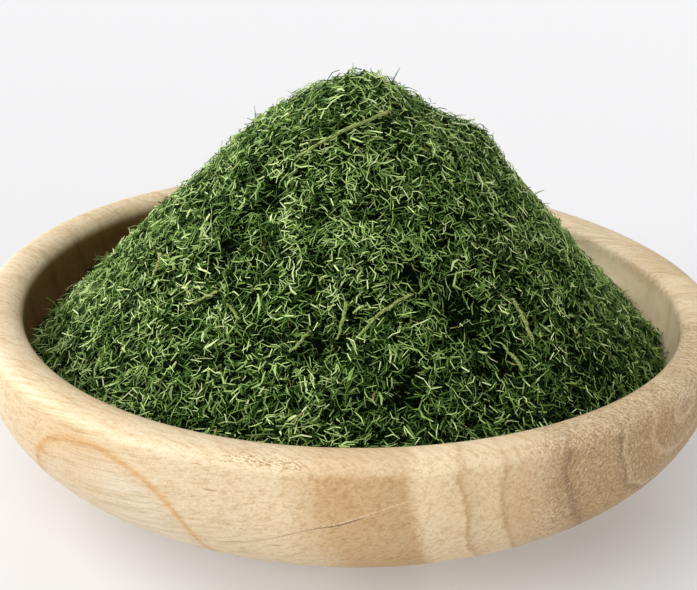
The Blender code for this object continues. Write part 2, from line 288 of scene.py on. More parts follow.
# Growth rings by their distance along the wall from where the pith comes out, at the front and the back
RING_REACH = 0.14
FRONT_RINGS = (
    (0.0000, "grey"), (0.0040, "ash"), (0.0055, "grey"), (0.0105, "grey"), (0.0118, "ash"),
    (0.0130, "grey"), (0.0192, "grey"), (0.0203, "ash"), (0.0213, "line"), (0.0226, "grey"),
    (0.0262, "brown"), (0.0285, "tan"), (0.0310, "brown"), (0.0338, "grey"), (0.0349, "line"),
    (0.0360, "grey"), (0.0400, "ash"), (0.0450, "ash"), (0.0472, "pale"), (0.0483, "blush"),
    (0.0490, "light"), (0.0530, "light"), (0.0556, "pale"), (0.0568, "blush"), (0.0575, "light"),
    (0.0655, "light"), (0.0680, "blush"), (0.0700, "tan"), (0.0760, "blush"), (0.0820, "blush"),
    (0.0900, "pale"), (0.0980, "cream"),
)
BACK_RINGS = (
    (0.0000, "tan"), (0.0060, "pale"), (0.0078, "blush"), (0.0095, "pale"), (0.0165, "pale"),
    (0.0182, "tan"), (0.0200, "pale"), (0.0300, "pale"), (0.0322, "red"), (0.0345, "pale"),
    (0.0470, "pale"), (0.0495, "tan"), (0.0525, "pale"), (0.0660, "cream"), (0.0690, "blush"),
    (0.0720, "cream"),
)

# Where the back's rings give way to the front's, and how far the rings stray
BACK_TO_FRONT = (-0.02, 0.0)
RING_WANDER = 0.008
RING_RAGGEDNESS = 0.0022

# Noises in the wood, the same all ways: repeats to a metre, detail and roughness
WIDE_NOISE = (45.0, 2.0)
RAGGED_NOISE = (420.0, 3.0)
HONEY_NOISE = (28.0, 2.0)
STAIN_NOISE = (220.0, 3.0)
MOTTLE_NOISE = (1700.0, 2.0, 0.75)

# Noises drawn out along the fibres: repeats across them, share of that along them, then as above
STREAK_NOISE = (1200.0, 0.02)
FINE_NOISE = (3200.0, 0.05, 2.0, 0.7)
SPECK_NOISE = (2300.0, 0.25, 1.5)

# Fine markings in the order they are laid on: noise, where on it they start and are full, strength, how
# much more of it on the end grain, colour and way of mixing
MARKINGS = (
    ("streaks", 0.44, 0.68, 0.46, 0.0, "streak", "MULTIPLY"),
    ("fine", 0.48, 0.70, 0.52, 0.0, "streak", "MULTIPLY"),
    ("mottle", 0.46, 0.66, 0.22, 0.60, "mottle", "MULTIPLY"),
    ("mottle", 0.46, 0.32, 0.12, 0.30, "bright", "MIX"),
    ("specks", 0.53, 0.64, 0.04, 0.50, "pore", "MIX"),
)

# Where on a noise a marking starts, and where it is full
HONEY_RANGE = (0.42, 0.72)
STAIN_RANGE = (0.50, 0.66)
KNOT_GRAIN = (0.34, 0.46)
PORE_GRAIN = (0.50, 0.60)
CRACK_GRAIN = (0.30, 0.46)
FRAY_GRAIN = (0.60, 0.48)

# End grain shows round the pith: distance at which it is gone and up to which it is full
END_GRAIN_GONE = 0.045
END_GRAIN_FULL = 0.034

# Shares of the bowl's outline over which the rim and the hollow take on their colours with their painted
# light, and the hollow's left its painted shade
RIM_FADE = 0.012
HOLLOW_FADE = (-0.004, 0.012)
HOLLOW_SHADE_FADE = 0.014

# Where the hollow's paler wood and painted light on the right start and are full, and its painted shade on
# the left
PALE_AND_LIT_FROM = (0.0, 0.04)
HOLLOW_SHADE_FROM = (-0.02, -0.05)

# Strengths of the wood's larger features, with the painted light on the rim and the hollow's right
STRENGTH = {
    "honey": 0.5, "blush": 0.85, "rim": 0.45, "pores": 0.9, "pale_and_lit": 0.7, "stain": 0.45,
    "fray": 0.45, "knot": 0.8, "dot": 0.9,
}

# The arch: place, half size, line, and a glow round the line that is stronger on the left
ARCH_HEADING = radians(234.6)
ARCH_HEIGHT = 0.008
ARCH_HALF_WIDTH = 0.0222
ARCH_HALF_HEIGHT = 0.0256
ARCH_WANDER = 0.12
ARCH_RAGGEDNESS = 0.025
ARCH_LINE = (0.995, 0.034)
ARCH_LINE_STRENGTH = 0.72
ARCH_GLOW = 0.22
ARCH_GLOW_LEFT = 0.16
ARCH_GLOW_INSIDE = (0.80, 1.0)
ARCH_GLOW_OUTSIDE = (1.03, 1.0)
ARCH_LEFT = (0.3, -0.8)

# The hairline crack, darkest near its middle, and the fibre frayed along its right part
CRACK_HEADING = radians(265.5)
CRACK_HEIGHT = 0.0246
CRACK_SLOPE = 0.362
CRACK_REACH = 0.019
CRACK_WANDER = 0.004
CRACK_WIDTH = 0.00016
CRACK_FADE = 0.003
CRACK_RIGHT_END = (0.011, 0.008)
CRACK_DARKEST = (0.0060, 0.0050)
CRACK_DARK = 0.40
CRACK_DARKER = 0.55
FRAY_RISE = 0.0004
FRAY_LEFT_END = (0.001, 0.004)

# The slanting reddish streak: a thin core and a wider band beside it
BLUSH_HEADING = radians(270.6)
BLUSH_HEIGHT = 0.0295
BLUSH_SLANT = radians(-57.7)
BLUSH_REACH = 0.0105
BLUSH_WANDER = 0.004
BLUSH_RAGGEDNESS = 0.0015
BLUSH_CORE = 0.0008
BLUSH_BAND = 0.0030
BLUSH_CORE_SHARE = 0.6
BLUSH_FADE_START = 0.003

# Small dark marks: heading, height, half length and half height
KNOTS = (
    (radians(252.6), 0.0311, 0.0013, 0.00022),
    (radians(251.0), 0.0359, 0.0009, 0.00014),
    (radians(261.2), 0.0199, 0.0012, 0.00022),
    (radians(276.8), 0.0164, 0.0008, 0.00030),
)

# One small dot on the rim: heading, place from its outer side at 0 to its inner side at 1, and radius
RIM_DOT_HEADING = radians(278.7)
RIM_DOT_PLACE = 0.84
RIM_DOT_RADIUS = 0.0004
RIM_OUTLINE = WALL * 1.25

# Rows of open pores where the wall turns into the rim: heading of the middle, half length and height
RIM_PORES = (
    (radians(259.5), 0.0075, 0.0377),
    (radians(308.0), 0.0190, 0.0384),
)
PORE_ROW_WIDTH = 0.0007

# Gloss and relief of the wood
WOOD_ROUGHNESS = 0.46
FINE_ROUGHNESS = 0.16
WOOD_RELIEF = 0.0003
MOTTLE_RELIEF = 0.4
RELIEF_STRENGTH = 0.22

# Studio lights: name, heading and height in degrees, strength and spread in degrees
LIGHTS = (
    ("front_left", 210, 17, 2.05, 34),
    ("back_left", 150, 28, 1.80, 34),
    ("right", 304, 11, 0.70, 40),
    ("above", 240, 56, 1.02, 50),
)
WORLD_COLOR = (0.98, 0.98, 1.0)
WORLD_LIGHT = 0.38
WORLD_SEEN = 0.86

# Floor, which glows a little so that shadows on it stay pale
FLOOR_SIZE = 3.0
FLOOR_GAP = 0.0001
FLOOR_COLOR = (0.545, 0.548, 0.565)
FLOOR_GLOW = (1.0, 0.965, 0.93)
FLOOR_GLOW_STRENGTH = 0.24

# Camera, worked out from the photo's outline of the bowl's rim
CAMERA_PLACE = (0.0, -0.324045, 0.174124)
CAMERA_YAW = radians(0.2457)
CAMERA_DROP = radians(22.887)
CAMERA_ROLL = radians(2.662)
FRAME_WIDTH = 697
FOCAL_PIXELS = 1600
SENSOR_WIDTH = 36.0


def dried_out(points):
    """Moves points of the perfectly round bowl to their places in the bowl as it has dried."""
    x, y, z = points[..., 0], points[..., 1], points[..., 2]
    wave = np.cos(2 * (np.arctan2(y, x) - WIDE_DIRECTION))
    widening = 1 + OVAL_SHARE * wave
    outward = (np.hypot(x, y) / BOWL_RADIUS) ** 2
    upward = np.minimum(1, z / (SHOULDER_HEIGHT + RIM_RISE))
    droop = RIM_DROOP * wave * outward * upward
    return np.stack((x * widening, y * widening, z - droop), axis=-1)


def outer_point(share):
    """Radius and height on the outer wall, from the base at 0 to the shoulder at 1."""
    start = acos((BASE_RADIUS / BOWL_RADIUS) ** (BELLY_POWER / 2))
    turn = start * (1 - share)
    depth = SHOULDER_HEIGHT / sin(start) ** (2 / BELLY_POWER)
    radius = BOWL_RADIUS * cos(turn) ** (2 / BELLY_POWER)
    return radius, SHOULDER_HEIGHT - depth * sin(turn) ** (2 / BELLY_POWER)


def rim_point(share):
    """Radius and height over the rounded rim, from its outer side at 0 to its inner side at 1."""
    turn = pi * share
    across = copysign(abs(cos(turn)) ** RIM_POWER, cos(turn))
    radius = BOWL_RADIUS - WALL / 2 + across * WALL / 2
    return radius, SHOULDER_HEIGHT + RIM_RISE * max(0.0, sin(turn)) ** RIM_POWER


def inner_point(turn):
    """Radius and height on the inner wall, from the shoulder at 0 to the middle at a quarter turn."""
    radius = (BOWL_RADIUS - WALL) * np.maximum(np.cos(turn), 0) ** (2 / HOLLOW_POWER)
    return radius, SHOULDER_HEIGHT - (SHOULDER_HEIGHT - FLOOR) * np.sin(turn) ** (2 / HOLLOW_POWER)


def inner_turn(height):
    """The turn at which the inner wall has this height."""
    drop = np.clip((SHOULDER_HEIGHT - height) / (SHOULDER_HEIGHT - FLOOR), 0, 1)
    return np.arcsin(drop ** (HOLLOW_POWER / 2))


def foot_height(angle):
    """Height at which the dill meets the bowl's wall, for a direction round the bowl."""
    height = FOOT_HEIGHT - FOOT_LEFT_RISE * cos(angle)
    return height - FOOT_SIDES_DROP * cos(2 * angle)


def heap_height(x, y):
    """Height of the heap's core, before the bowl's drying moves it."""
    angle = atan2(y, x)
    run = hypot(x, y) * (HEAP_SLOPE + BACK_STEEPER * sin(angle))
    cone = HEAP_TOP + TOP_ROUNDING - hypot(run, TOP_ROUNDING)
    foot = foot_height(angle)
    higher = max(cone, foot)
    spread = exp((cone - higher) / FOOT_BLEND) + exp((foot - higher) / FOOT_BLEND)
    height = higher + FOOT_BLEND * log(spread)
    inside = BOWL_RADIUS - WALL - hypot(x, y)
    fade = min(1.0, max(0.0, inside / LUMP_SIZE))
    lumps = noise.noise(Vector((x, y, 0)) / LUMP_SIZE)
    lumps += 0.5 * noise.noise(Vector((x, y, LUMP_SIZE)) / (LUMP_SIZE / 2))
    height += LUMP_HEIGHT * fade * lumps
    for mound_x, mound_y, radius, rise in MOUNDS:
        away = hypot(x - mound_x, y - mound_y) / radius
        height += rise * exp(-away * away)
    return height


def heap_edge(angle):
    """Radius and height at which the heap's core ends beside the bowl's wall."""
    height = foot_height(angle)
    for _ in range(EDGE_ROUNDS):
        radius = inner_point(inner_turn(height))[0] - CLEARANCE
        height = min(heap_height(radius * cos(angle), radius * sin(angle)), SHOULDER_HEIGHT)
    return radius, height


class Grid:
    """A height or a heading over the bowl, worked out on a square grid and read between its points."""

    def __init__(self, formula):
        steps = int(BOWL_RADIUS / GRID_STEP)
        places = [k * GRID_STEP for k in range(-steps, steps + 1)]
        self.steps = steps
        self.values = np.array([[formula(x, y) for y in places] for x in places])

    def read(self, x, y):
        most = 2 * self.steps - JUST_INSIDE
        across = np.clip(x / GRID_STEP + self.steps, 0, most)
        along = np.clip(y / GRID_STEP + self.steps, 0, most)
        i, j = across.astype(int), along.astype(int)
        u, v = across - i, along - j
        h = self.values
        near = h[i, j] * (1 - v) + h[i, j + 1] * v
        far = h[i + 1, j] * (1 - v) + h[i + 1, j + 1] * v
        return near * (1 - u) + far * u

    def slopes(self, x, y):
        """How steeply a height rises along x and along y."""
        step = GRID_STEP
        across = (self.read(x + step, y) - self.read(x - step, y)) / (2 * step)
        along = (self.read(x, y + step) - self.read(x, y - step)) / (2 * step)
        return across, along


def clump_height(x, y):
    """How far clumps of threads stand up, or sink in the craters, apart from the heap's own shape. Sunk
    threads take darker tones, which is painted shade.
    """
    height = CLUMP_HEIGHT * noise.noise(Vector((x, y, 0.5)) / CLUMP_SIZE)
    for mound_x, mound_y, radius, rise in MOUNDS:
        if -DEEPEST_CRATER < rise < 0:
            away = hypot(x - mound_x, y - mound_y) / (radius * CRATER_SHARE)
            height -= CRATER_DEPTH * exp(-away * away)
    return height


def swirl_heading(x, y):
    """The heading that most threads near a place share."""
    place = Vector((x, y, 0.9)) / SWIRL_SIZE
    return 2 * pi * SWIRL_TURNS * noise.noise(place)


class Skin:
    """What the threads need to know of the heap that they lie on."""

    def __init__(self):
        self.heap = Grid(heap_height)
        self.clumps = Grid(clump_height)
        self.swirls = Grid(swirl_heading)
        turns = [2 * pi * k / EDGE_STEPS for k in range(EDGE_STEPS + 1)]
        self.edges = np.array([heap_edge(turn)[0] for turn in turns])


def add_object(name, data):
    """A new object of the scene."""
    item = bpy.data.objects.new(name, data)
    bpy.context.scene.collection.objects.link(item)
    return item


def add_piece(name, vertices, faces, uvs=None, smooth=False):
    """A new mesh object. faces is one array of faces with equally many corners."""
    vertices = np.asarray(vertices, np.float32).reshape(-1, 3)
    faces = np.asarray(faces, np.int32)
    mesh = bpy.data.meshes.new(name)
    mesh.vertices.add(len(vertices))
    mesh.vertices.foreach_set("co", vertices.ravel())
    mesh.loops.add(faces.size)
    mesh.loops.foreach_set("vertex_index", faces.ravel())
    mesh.polygons.add(len(faces))
    mesh.polygons.foreach_set("loop_start", np.arange(0, faces.size, faces.shape[1], dtype=np.int32))
    if uvs is not None:
        layer = mesh.uv_layers.new(name=UV_MAP)
        layer.data.foreach_set("uv", np.asarray(uvs, np.float32).ravel())
    mesh.update(calc_edges=True)
    mesh.validate()
    if smooth:
        mesh.shade_smooth()
    else:
        mesh.shade_flat()
    return add_object(name, mesh)


def rings_to_faces(rings, sides):
    """Quads of a stack of rings that turn about the same axis."""
    lower = np.arange(rings - 1)[:, None] * sides
    here = np.arange(sides)[None, :]
    after = (here + 1) % sides
    quads = np.stack((lower + here, lower + after, lower + sides + after, lower + sides + here), axis=-1)
    return quads.reshape(-1, 4)


def bowl_profile():
    """Radius and height of the turned outline, from the middle of the base round to the middle inside."""
    points = [(0.0, 0.0)]
    points += [((BASE_RADIUS - FOOT_CHAMFER) * k / FOOT_RINGS, 0.0) for k in range(1, FOOT_RINGS + 1)]
    points.append((BASE_RADIUS, FOOT_CHAMFER))
    points += [outer_point(k / OUTER_RINGS) for k in range(1, OUTER_RINGS)]
    points += [rim_point(k / RIM_RINGS) for k in range(RIM_RINGS + 1)]
    points += [inner_point(pi / 2 * k / INNER_RINGS) for k in range(1, INNER_RINGS + 1)]
    return np.array(points)


def along_profile(profile):
    """Each point's share of the way along the turned outline."""
    steps = np.hypot(*np.diff(profile, axis=0).T)
    return np.concatenate(([0], np.cumsum(steps))) / steps.sum()


def make_bowl(material):
    """The bowl as one turned skin."""
    profile = bowl_profile()
    angles = 2 * pi * np.arange(BOWL_SEGMENTS) / BOWL_SEGMENTS
    middle = profile[1:-1]
    rings = np.stack((
        middle[:, :1] * np.cos(angles),
        middle[:, :1] * np.sin(angles),
        np.repeat(middle[:, 1:], BOWL_SEGMENTS, axis=1),
    ), axis=-1)
    points = np.concatenate((dried_out(rings).reshape(-1, 3), [(0, 0, 0), (0, 0, profile[-1, 1])]))
    return add_turned_piece("bowl_wood", points, BOWL_SEGMENTS, material, along_profile(profile)[1:-1])


def add_turned_piece(name, points, sides, material, along=None):
    """A closed skin of rings and the two points at its ends, with a map where along is given."""
    rings = len(points) // sides
    item = add_piece(name, points, rings_to_faces(rings, sides), smooth=True)
    close_with_fans(item, rings, sides)
    if along is not None:
        add_turned_map(item, along, sides)
    item.data.materials.append(material)
    return item


def close_with_fans(item, rings, sides):
    """Adds the triangles from the first and last rings to the two points that follow the rings."""
    shape = bmesh.new()
    shape.from_mesh(item.data)
    shape.verts.ensure_lookup_table()
    first, last = shape.verts[rings * sides], shape.verts[rings * sides + 1]
    top = (rings - 1) * sides
    for k in range(sides):
        after = (k + 1) % sides
        shape.faces.new((shape.verts[after], shape.verts[k], first)).smooth = True
        shape.faces.new((shape.verts[top + k], shape.verts[top + after], last)).smooth = True
    shape.to_mesh(item.data)
    shape.free()


def add_turned_map(item, along, sides):
    """Unwraps a turned skin: round the bowl is across the map, and along its outline is up the map."""
    layer = item.data.uv_layers.new(name=UV_MAP)
    last = len(along) * sides
    for face in item.data.polygons:
        corners = [item.data.loops[k].vertex_index for k in face.loop_indices]
        turns = [(corner % sides) / sides for corner in corners]
        known = [turn for turn, corner in zip(turns, corners) if corner < last]
        if max(known) - min(known) > 0.5:
            turns = [turn + 1 if turn < 0.5 else turn for turn in turns]
            known = [turn + 1 if turn < 0.5 else turn for turn in known]
        for k, corner, turn in zip(face.loop_indices, corners, turns):
            if corner < last:
                layer.data[k].uv = (turn, along[corner // sides])
            else:
                layer.data[k].uv = (sum(known) / len(known), corner - last)


def make_core(material):
    """The heap's inside, a nearly black skin that shows between the threads as painted shade."""
    angles = [2 * pi * k / CORE_SEGMENTS for k in range(CORE_SEGMENTS)]
    edges = [heap_edge(angle) for angle in angles]
    points = []
    for k in range(1, CORE_UNDER_RINGS):
        share = 1 - k / CORE_UNDER_RINGS
        for angle, (_, height) in zip(angles, edges):
            start = inner_turn(height - CORE_SINK)
            radius, low = inner_point(start + (pi / 2 - start) * share)
            radius = max(0.0, radius - CLEARANCE)
            points.append((radius * cos(angle), radius * sin(angle), low + CLEARANCE * share))
    for k in range(CORE_RINGS):
        for angle, (edge, _) in zip(angles, edges):
            radius = edge * (1 - k / CORE_RINGS)
            x, y = radius * cos(angle), radius * sin(angle)
            points.append((x, y, heap_height(x, y) - CORE_SINK))
    points += [(0, 0, FLOOR + CLEARANCE), (0, 0, heap_height(0, 0) - CORE_SINK)]
    return add_turned_piece("dill_core", dried_out(np.array(points)), CORE_SEGMENTS, material)


def scatter_on_heap(draw, count, skin):
    """Places on the heap, as many on each square millimetre of its slope as on its top."""
    places = np.empty((2, 0))
    while places.shape[1] < count:
        angle = draw.uniform(0, 2 * pi, 2 * count)
        share = np.sqrt(draw.uniform(0, 1, 2 * count))
        edge = np.interp(angle, np.linspace(0, 2 * pi, len(skin.edges)), skin.edges)
        drawn = edge * share * np.stack((np.cos(angle), np.sin(angle)))
        across, along = skin.heap.slopes(*drawn)
        steepness = np.sqrt(1 + across ** 2 + along ** 2)
        kept = draw.uniform(0, STEEPEST, 2 * count) < steepness
        places = np.concatenate((places, drawn[:, kept]), axis=1)
    return places[:, :count]


def unit(vectors):
    """The same directions at length 1."""
    return vectors / np.linalg.norm(vectors, axis=-1, keepdims=True)


def make_threads(name, draw, form, count, skin):
    """A piece of the heap's skin: threads laid on it, each with its own heading, tilt, bend and tone."""
    rings, lengths, widths, flatness = form
    x, y = scatter_on_heap(draw, count, skin)
    heading = draw.uniform(0, 2 * pi, count)
    combed = draw.uniform(0, 1, count) < COMBED_SHARE
    heading = np.where(combed, skin.swirls.read(x, y) + draw.normal(0, COMBED_SPREAD, count), heading)
    tilt = np.clip(draw.normal(0, THREAD_TILT, count), -MOST_TILT, MOST_TILT)
    standing = draw.uniform(0, 1, count) < STANDING_SHARE
    tilt = np.where(standing, draw.uniform(*STANDING_TILT, count), tilt)
    deepest, usual, highest = THREAD_DEPTH
    depth = draw.triangular(deepest, usual, highest, count) + skin.clumps.read(x, y)
    # Deeper threads take darker tones: painted shade between the threads
    level = np.clip((depth - deepest) / (highest - deepest), 0, 1)
    tone = TOP_TONE * level ** TONE_POWER + draw.normal(0, TONE_SPREAD, count)
    # Threads at the heap's foot on the right take darker tones: painted shade
    tone = np.clip(tone - FOOT_PAINTED_SHADE * foot_shade_share(x, y), 0, 1) * GREENEST_TONE
    straw = draw.uniform(0, 1, count) < STRAW_SHARE
    tone = np.where(straw, draw.uniform(*STRAW_TONES, count), tone)
    length = draw.uniform(*lengths, count)
    width = draw.uniform(*widths, count)
    middle, forward, up = thread_frames(skin, x, y, heading, tilt, depth)
    vertices = thread_points(draw, middle, forward, up, length, width, rings, flatness)
    return add_threads(name, vertices, rings, tone)


def foot_shade_share(x, y):
    """0 over most of the heap, rising to 1 at its foot on the right, where threads get painted shade."""
    outward = x * cos(FOOT_HEADING) + y * sin(FOOT_HEADING)
    return np.clip((outward - FOOT_START) / (FOOT_FULL - FOOT_START), 0, 1)


def thread_frames(skin, x, y, heading, tilt, depth):
    """Middles, directions and upward directions of threads laid on the heap."""
    across, along = skin.heap.slopes(x, y)
    up = unit(np.stack((-across, -along, np.ones(len(x))), axis=-1))
    first = unit(np.cross((0.0, 1.0, 0.0), up))
    second = np.cross(up, first)
    heading = heading[:, None]
    tilt = tilt[:, None]
    forward = first * np.cos(heading) + second * np.sin(heading)
    middle = np.stack((x, y, skin.heap.read(x, y)), axis=-1) + up * depth[:, None]
    return middle, forward * np.cos(tilt) + up * np.sin(tilt), up * np.cos(tilt) - forward * np.sin(tilt)


def thread_points(draw, middle, forward, up, length, width, rings, flatness):
    """The rings of three points of many threads at once."""
    count = len(middle)
    sideways = np.cross(up, forward)
    length = length[:, None]
    width = width[:, None]
    bend = draw.normal(0, THREAD_BEND, count)[:, None] * length
    rise = draw.normal(0, THREAD_BEND / 2, count)[:, None] * length
    roll = draw.uniform(0, 2 * pi, count)[:, None]
    taper = draw.uniform(*THREAD_TAPER, count)[:, None]
    wide = sideways * np.cos(roll / 4) + up * np.sin(roll / 4)
    thick = up * np.cos(roll / 4) - sideways * np.sin(roll / 4)
    points = []
    for k in range(rings):
        t = k / (rings - 1)
        arch = 4 * t * (1 - t)
        if rings > 3:
            arch = arch / 2 + sin(2 * pi * t) * 0.5
        centre = middle + forward * length * (t - 0.5) + sideways * bend * arch + up * rise * arch
        half = width / 2 * (1 + (taper - 1) * t)
        if rings > 2:
            half = half * (1 - POINTEDNESS + POINTEDNESS * sin(pi * t))
        for s in range(3):
            turn = 2 * pi * s / 3 + roll
            points.append(centre + half * (wide * np.cos(turn) + thick * np.sin(turn) * flatness))
    return np.stack(points, axis=1)


def add_threads(name, vertices, rings, tone):
    """One piece of many threads, each with its tone on the map."""
    count, corners = vertices.shape[:2]
    faces = thread_faces(rings)
    all_faces = (faces[None] + np.arange(count)[:, None, None] * corners).reshape(-1, 3)
    places = thread_map(count, rings, tone).reshape(-1, 2)
    return add_piece(name, dried_out(keep_inside(vertices)), all_faces, places[all_faces.ravel()])


def make_strays(name, draw, skin):
    """The few threads that stick out of the heap at places of their own."""
    x, y, heading, tilt, length = np.array(STRAYS).T
    heading, tilt = np.radians(heading), np.radians(tilt)
    surface = thread_frames(skin, x, y, heading, tilt, np.zeros(len(x)))[0]
    level = np.cos(tilt)
    forward = np.stack((np.cos(heading) * level, np.sin(heading) * level, np.sin(tilt)), axis=-1)
    sideways = np.stack((np.sin(heading), -np.cos(heading), 0 * tilt), axis=-1)
    up = unit(np.cross(forward, sideways))
    middle = surface + forward * (length * STRAY_OUT)[:, None]
    width = draw.uniform(*STRAY_WIDTHS, len(x))
    vertices = thread_points(draw, middle, forward, up, length, width, STRAY_RINGS, STRAY_FLATNESS)
    return add_threads(name, vertices, STRAY_RINGS, draw.uniform(*STRAY_TONES, len(x)))


def thread_faces(rings):
    """Triangles of a three-sided thread with flat ends."""
    faces = [(2, 1, 0)]
    for k in range(rings - 1):
        low = 3 * k
        for s in range(3):
            after = (s + 1) % 3
            faces.append((low + s, low + after, low + 3 + after))
            faces.append((low + s, low + 3 + after, low + 3 + s))
    last = 3 * (rings - 1)
    faces.append((last, last + 1, last + 2))
    return np.array(faces)


def thread_map(count, rings, tone):
    """Each thread's place on the map: its tone across, its length up."""
    places = np.empty((count, rings * 3, 2))
    corners = np.arange(rings * 3)
    # The sides of a green thread are a step apart on the map: painted light on one side, painted shade on
    # another
    sideways = np.where(tone > GREENEST_TONE, STRAW_STEP, SIDE_PAINTED_SHADING)
    places[..., 0] = MAP_START + tone[:, None] * MAP_WIDTH + corners % 3 * sideways[:, None]
    places[..., 1] = MAP_MARGIN + (1 - 2 * MAP_MARGIN) * (corners // 3) / (rings - 1)
    return places


def keep_inside(vertices):
    """Pulls in what would reach into the bowl's inner wall."""
    x, y, z = vertices[..., 0], vertices[..., 1], vertices[..., 2]
    most = inner_point(inner_turn(z))[0] - THREAD_GAP
    reach = np.maximum(np.hypot(x, y), THREAD_GAP)
    inward = np.where(z < SHOULDER_HEIGHT + KEPT_OVER_SHOULDER, np.minimum(1, most / reach), 1)
    return np.stack((x * inward, y * inward, z), axis=-1)


def stem_rings(node):
    """Middles of a CAD stem's rings, their half widths and thicknesses, and which way they are wide."""
    points = np.array([v.co[:] for v in node.data.vertices], float)
    middle = points.mean(0)
    axis = np.linalg.svd(points - middle, full_matrices=False)[2][0]
    along = (points - middle) @ (axis * np.sign(axis[0]))
    share = (along - along.min()) / (along.max() - along.min())
    group = np.rint(share * (CAD_STEM_RINGS - 1)).astype(int)
    middles, halves, ways = [], [], []
    for k in range(CAD_STEM_RINGS):
        part = points[group == k]
        middles.append(part.mean(0))
        sizes, directions = np.linalg.svd(part - middles[k], full_matrices=False)[1:]
        halves.append(sizes[:2] * sqrt(2 / len(part)))
        way = directions[0]
        ways.append(way * np.sign(way @ ways[-1]) if ways else way)
    return np.array(middles), np.array(halves), np.array(ways)


def read_rings(share, values):
    """A value read between rings, from the first ring at 0 to the last at 1."""
    known = np.linspace(0, 1, len(values))
    return np.array([np.interp(share, known, column) for column in values.T])


def make_stem(number, node, material, draw):
    """A finer stem over the CAD one: ribbed, a little crooked, with torn ends."""
    middles, halves, ways = stem_rings(node)
    axis = unit(middles[-1] - middles[0])
    places = np.linspace(0, 1, STEM_RINGS)
    wobble = draw.normal(0, STEM_WOBBLE, STEM_RINGS)
    crook = np.cumsum(draw.normal(0, STEM_CROOK, (STEM_RINGS, 3)), axis=0)
    crook -= np.linspace(crook[0], crook[-1], STEM_RINGS)
    phase = draw.uniform(0, 2 * pi)
    points = []
    for k, t in enumerate(places):
        centre = read_rings(t, middles) + crook[k] - (0, 0, STEM_SINK)
        first = unit(read_rings(t, ways))
        first = unit(first - axis * (first @ axis))
        second = np.cross(axis, first)
        wide, thick = read_rings(t, halves) * (1 + wobble[k]) * (1 - STEM_TAPER * (1 - t))
        end = max(0.0, abs(2 * t - 1) - 1 + TORN_SHARE) / TORN_SHARE
        way = 1 if t > 0.5 else -1
        for s in range(STEM_SIDES):
            turn = 2 * pi * s / STEM_SIDES
            rib = 1 - RIB_DEPTH * (1 + cos(STEM_RIBS * turn + phase)) - TORN_NARROWING * end
            torn = draw.uniform(*TORN_REACH) * wide if t in (0, 1) else 0.0
            offset = first * cos(turn) * wide + second * sin(turn) * thick
            points.append(centre + offset * rib + axis * torn * way)
    points.append(np.mean(points[:STEM_SIDES], axis=0))
    points.append(np.mean(points[-1 - STEM_SIDES:-1], axis=0))
    return add_turned_piece(f"dill_stem_{number:02d}", points, STEM_SIDES, material, places)


def new_material(name, roughness, specular):
    """A new material with its node tree and shader."""
    material = bpy.data.materials.new(name)
    material.use_nodes = True
    tree = material.node_tree
    shader = tree.nodes["Principled BSDF"]
    set_inputs(tree, shader, {"Roughness": roughness, "Specular IOR Level": specular})
    return material, tree, shader


class Field:
    """A number that varies over a surface. Arithmetic with it adds nodes to its material."""

    def __init__(self, tree, socket):
        self.tree = tree
        self.socket = socket

    def math(self, operation, *others):
        node = self.tree.nodes.new("ShaderNodeMath")
        node.operation = operation
        for k, value in enumerate((self,) + others):
            feed(self.tree, value, node.inputs[k])
        return Field(self.tree, node.outputs[0])

    def __add__(self, other):
        return self.math("ADD", other)

    def __sub__(self, other):
        return self.math("SUBTRACT", other)

    def __mul__(self, other):
        return self.math("MULTIPLY", other)

    def __truediv__(self, other):
        return self.math("DIVIDE", other)

    def ridge(self, place, width):
        """1 where the field has the value place, falling to 0 over about the width either side."""
        away = (self - place) / width
        return ((away * away) * -1.0).math("EXPONENT")

    def step(self, low, high):
        """0 below low and 1 above high, or the other way round where low is the higher."""
        ends = (low, high, 0.0, 1.0) if high > low else (high, low, 1.0, 0.0)
        node = self.tree.nodes.new("ShaderNodeMapRange")
        node.interpolation_type = "SMOOTHSTEP"
        for k, value in enumerate((self,) + ends):
            feed(self.tree, value, node.inputs[k])
        return Field(self.tree, node.outputs["Result"])

    def ramp(self, stops):
        """A colour read from stops of place and colour."""
        node = self.tree.nodes.new("ShaderNodeValToRGB")
        feed(self.tree, self, node.inputs["Fac"])
        elements = node.color_ramp.elements
        while len(elements) < len(stops):
            elements.new(1.0)
        for element, (place, color) in zip(elements, stops):
            element.position = place
            element.color = (*color, 1)
        return node.outputs["Color"]


def feed(tree, value, socket):
    """Links a field or a socket to a socket, or sets it to a number or a colour."""
    if isinstance(value, Field):
        tree.links.new(value.socket, socket)
    elif isinstance(value, bpy.types.NodeSocket):
        tree.links.new(value, socket)
    elif isinstance(value, tuple):
        socket.default_value = (*value, 1)
    else:
        socket.default_value = value


def blend(tree, share, first, second, kind="MIX"):
    """Two colours mixed: the first where the share is 0, the second where it is 1."""
    node = tree.nodes.new("ShaderNodeMix")
    node.data_type = "RGBA"
    node.blend_type = kind
    feed(tree, share, node.inputs[0])
    feed(tree, first, node.inputs[6])
    feed(tree, second, node.inputs[7])
    return node.outputs[2]


def set_inputs(tree, node, values):
    """Links or sets the inputs of these names."""
    for name, value in values.items():
        feed(tree, value, node.inputs[name])


def noise_field(tree, vector, scale, detail=3.0, roughness=0.55):
    """Noise from 0 to 1. The scale is its repeats to a metre, or up and across the map."""
    node = tree.nodes.new("ShaderNodeTexNoise")
    set_inputs(tree, node, {"Vector": vector, "Scale": scale, "Detail": detail, "Roughness": roughness})
    return Field(tree, node.outputs["Fac"])


def parts_of(tree, vector):
    """The three parts of a place."""
    node = tree.nodes.new("ShaderNodeSeparateXYZ")
    tree.links.new(vector, node.inputs[0])
    return [Field(tree, socket) for socket in node.outputs]


